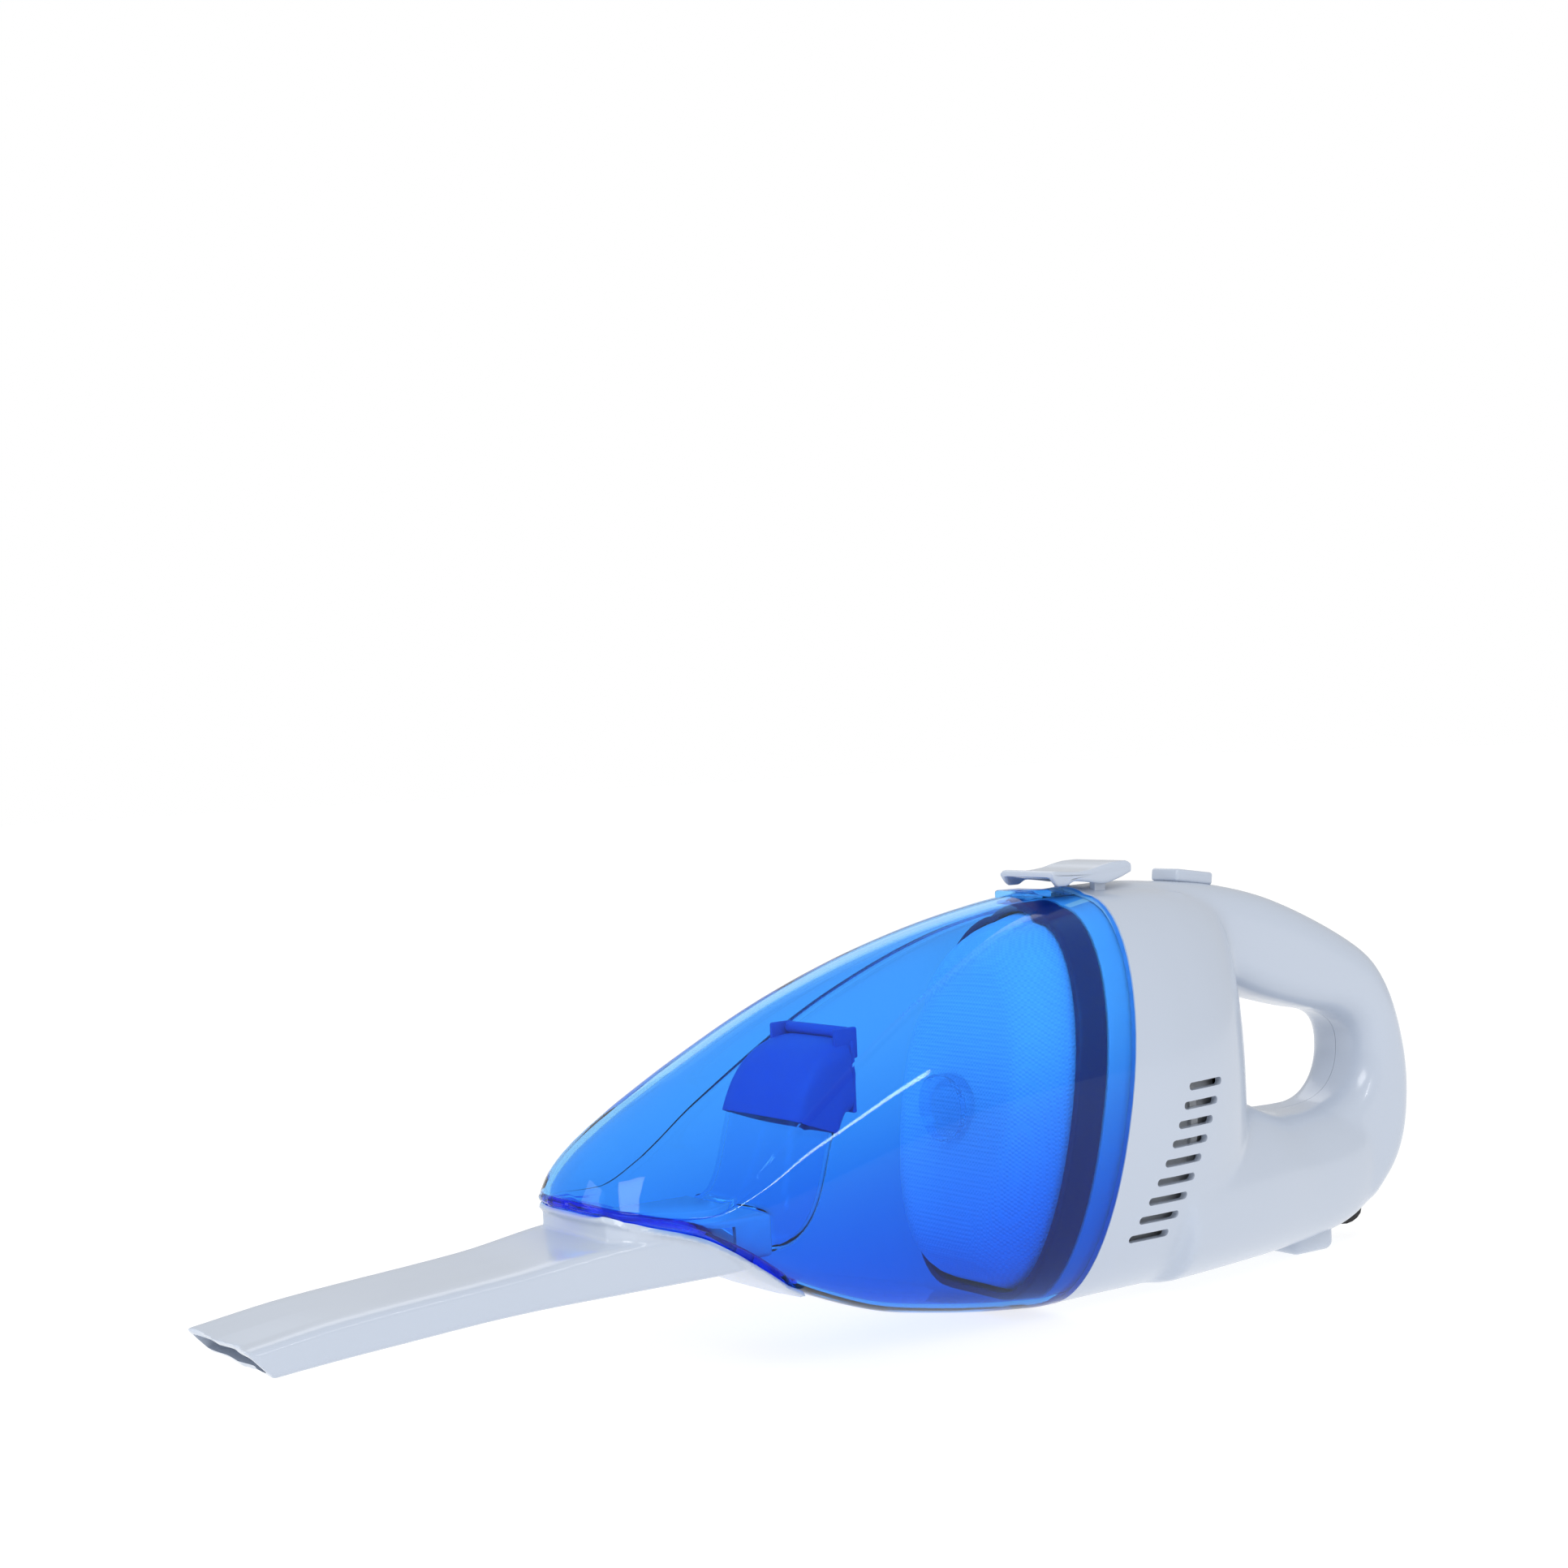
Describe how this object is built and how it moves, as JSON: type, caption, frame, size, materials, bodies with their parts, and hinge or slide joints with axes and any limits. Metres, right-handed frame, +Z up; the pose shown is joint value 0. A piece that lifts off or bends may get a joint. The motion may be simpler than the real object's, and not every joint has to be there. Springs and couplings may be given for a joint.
{
  "type": "handheld vacuum",
  "caption": "Handheld car vacuum with a loop handle, a clear blue dust bowl, a rocker latch and a white crevice nozzle.",
  "frame": {"origin": "centre of the footprint box on the floor plane the feet stand on", "axes": "+X from the nozzle towards the handle, +Y to the far side, +Z up"},
  "size_m": [0.3778, 0.074, 0.1192],
  "materials": {
    "white_shell": "glossy white moulded plastic",
    "inner_white": "plain white moulded plastic",
    "clear_blue": "clear blue plastic",
    "navy": "dark blue plastic",
    "filter_cloth": "woven filter cloth",
    "black_rubber": "soft black rubber",
    "grey_rubber": "grey rubber",
    "flap_rubber": "dark blue rubber",
    "steel": "plated steel",
    "brass": "brass",
    "magnet": "ferrite",
    "copper": "copper windings and bars",
    "black_plastic": "black moulded plastic"
  },
  "bodies": {
    "housing": {"housing_left": "white_shell", "housing_right": "white_shell", "screw_1": "steel", "screw_2": "steel", "screw_3": "steel", "screw_4": "steel", "intake_grille": "inner_white", "motor_bulkhead": "inner_white", "motor_can": "steel", "magnet_left": "magnet", "magnet_right": "magnet", "motor_cap": "black_plastic", "brush_left": "magnet", "brush_right": "magnet", "terminal_left": "brass", "terminal_right": "brass", "latch_pin": "steel", "switch_body": "black_plastic", "cord_gland": "black_rubber"},
    "latch": {"latch": "white_shell"},
    "switch": {"switch_slider": "white_shell"},
    "rotor": {"impeller": "black_plastic", "impeller_nut": "brass", "motor_shaft": "steel", "armature": "copper", "commutator": "copper"},
    "filter": {"filter_frame": "navy", "filter_cup": "filter_cloth", "filter_button": "inner_white"},
    "bowl": {"dust_bowl": "clear_blue", "bowl_foot": "grey_rubber", "inlet_duct": "clear_blue", "flap_pin": "steel"},
    "flap": {"inlet_flap": "flap_rubber"},
    "nozzle": {"crevice_nozzle": "white_shell"}
  },
  "joints": [
    {"name": "latch_hinge", "type": "hinge", "parent": "housing", "child": "latch", "pos_m": [0.07008, 0, 0.1162], "axis": [0, 1, 0], "range_deg": [0, 12], "stiffness_Nm_per_rad": 0.05, "springref_deg": -11.46},
    {"name": "switch_slide", "type": "slide", "parent": "housing", "child": "switch", "axis": [0.9889, 0, -0.1483], "range_m": [0, 0.004]},
    {"name": "rotor_spin", "type": "hinge", "parent": "housing", "child": "rotor", "pos_m": [0.08708, 0, 0.05], "axis": [1, 0, 0], "continuous": true},
    {"name": "filter_pull", "type": "slide", "parent": "housing", "child": "filter", "axis": [-1, 0, 0], "range_m": [0, 0.09]},
    {"name": "bowl_off", "type": "slide", "parent": "filter", "child": "bowl", "axis": [-1, 0, 0], "range_m": [0, 0.15]},
    {"name": "flap_hinge", "type": "hinge", "parent": "bowl", "child": "flap", "pos_m": [-0.02132, 0, 0.0818], "axis": [0, -1, 0], "range_deg": [0, 60]},
    {"name": "nozzle_off", "type": "slide", "parent": "bowl", "child": "nozzle", "axis": [-1, 0, 0], "range_m": [0, 0.12]}
  ]
}
